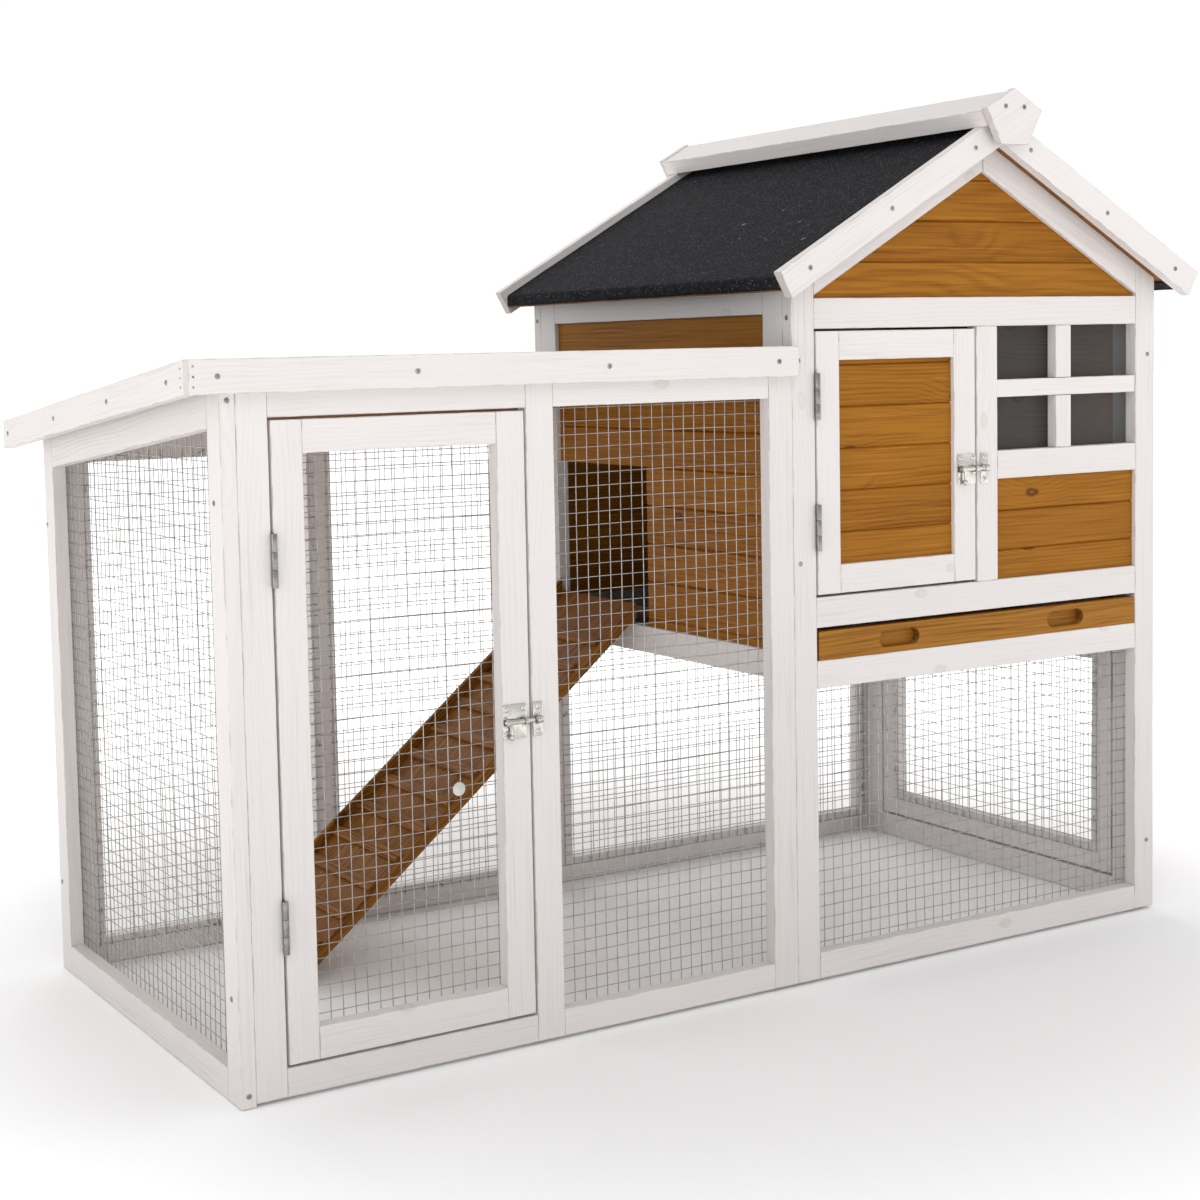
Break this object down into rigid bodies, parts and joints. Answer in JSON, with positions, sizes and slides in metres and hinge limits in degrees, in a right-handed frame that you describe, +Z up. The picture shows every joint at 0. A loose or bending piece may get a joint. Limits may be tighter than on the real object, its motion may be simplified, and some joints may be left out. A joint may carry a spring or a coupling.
{
  "type": "rabbit hutch",
  "caption": "Wooden rabbit hutch: raised gabled house with tray, ramp and window beside a wire-meshed lean-to run, with hinged doors and bolts.",
  "frame": {"origin": "on the ground under the middle of the whole hutch's bounding box", "axes": "+X from the run towards the house along the front, +Y to the back, +Z up; the doors face -Y"},
  "size_m": [1.2138, 0.6038, 0.9292],
  "materials": {
    "white_paint": "white paint on softwood, satin, slightly uneven",
    "stained_board": "yellow-brown translucent stain on fir boards",
    "dark_stain": "brown stain on sawn boards",
    "ramp_wood": "honey-brown stain on fir",
    "roofing_felt": "mineral granules on bitumen felt, matt",
    "zinc_wire": "zinc-coated welded wire",
    "clear_pane": "thin clear pane",
    "zinc_hardware": "zinc-plated pressed steel",
    "black_screw": "dark phosphated screw heads",
    "tray_pan": "zinc-coated sheet",
    "button_plastic": "plain pale disc"
  },
  "bodies": {
    "hutch": {"run_end_stiles": "white_paint", "run_end_rails": "white_paint", "run_end_mesh": "zinc_wire", "run_front_stiles": "white_paint", "run_front_rails": "white_paint", "run_front_mesh": "zinc_wire", "run_back_stiles": "white_paint", "run_back_rails": "white_paint", "run_back_mesh": "zinc_wire", "run_roof_boards": "dark_stain", "run_roof_felt": "roofing_felt", "run_fascia": "white_paint", "run_barge_board": "white_paint", "ramp_board": "ramp_wood", "ramp_cleats": "ramp_wood", "ramp_hooks": "zinc_hardware", "house_front_stiles": "white_paint", "house_front_rails": "white_paint", "house_front_boards": "stained_board", "house_mesh": "zinc_wire", "window_bars": "white_paint", "window_pane": "clear_pane", "left_wall_stiles": "white_paint", "left_wall_rails": "white_paint", "left_wall_boards": "stained_board", "right_wall_stiles": "white_paint", "right_wall_rails": "white_paint", "right_wall_boards": "stained_board", "back_wall_stiles": "white_paint", "back_wall_rails": "white_paint", "back_wall_boards": "stained_board", "tray_runners": "ramp_wood", "house_roof_boards": "dark_stain", "house_roof_felt": "roofing_felt", "barge_boards": "white_paint", "ridge_cap": "white_paint", "ridge_heads": "white_paint", "frame_screws": "black_screw", "fixed_hinge_leaves": "zinc_hardware", "bolt_keepers": "zinc_hardware"},
    "run_door": {"run_door_stiles": "white_paint", "run_door_rails": "white_paint", "run_door_mesh": "zinc_wire", "run_door_hinge_leaves": "zinc_hardware", "run_bolt_plate": "zinc_hardware", "mesh_button": "button_plastic"},
    "run_bolt": {"run_bolt_rod": "zinc_hardware"},
    "house_door": {"house_door_stiles": "white_paint", "house_door_rails": "white_paint", "house_door_boards": "stained_board", "house_door_hinge_leaves": "zinc_hardware", "house_bolt_plate": "zinc_hardware"},
    "house_bolt": {"house_bolt_rod": "zinc_hardware"},
    "side_door": {"side_door_stiles": "white_paint", "side_door_rails": "white_paint", "side_door_mesh": "zinc_wire", "side_door_hinge_leaves": "zinc_hardware"},
    "side_button": {"side_door_button": "zinc_hardware"},
    "tray": {"tray_front": "ramp_wood", "tray_pan": "tray_pan"}
  },
  "joints": [
    {"name": "run_door_hinge", "type": "hinge", "parent": "hutch", "child": "run_door", "pos_m": [-0.52885, -0.2563, 0], "axis": [0, 0, -1], "range_deg": [0, 110]},
    {"name": "run_bolt_slide", "type": "slide", "parent": "run_door", "child": "run_bolt", "axis": [1, 0, 0], "range_m": [0, 0.01]},
    {"name": "house_door_hinge", "type": "hinge", "parent": "hutch", "child": "house_door", "pos_m": [0.07715, -0.2563, 0], "axis": [0, 0, -1], "range_deg": [0, 110]},
    {"name": "house_bolt_slide", "type": "slide", "parent": "house_door", "child": "house_bolt", "axis": [1, 0, 0], "range_m": [0, 0.01]},
    {"name": "side_door_hinge", "type": "hinge", "parent": "hutch", "child": "side_door", "pos_m": [0.5731, -0.20385, 0], "axis": [0, 0, -1], "range_deg": [0, 110]},
    {"name": "side_button_turn", "type": "hinge", "parent": "hutch", "child": "side_button", "pos_m": [0.5699, 0.2224, 0.1735], "axis": [1, 0, 0], "range_deg": [0, 90]},
    {"name": "tray_slide", "type": "slide", "parent": "hutch", "child": "tray", "axis": [0, -1, 0], "range_m": [0, 0.4]}
  ]
}
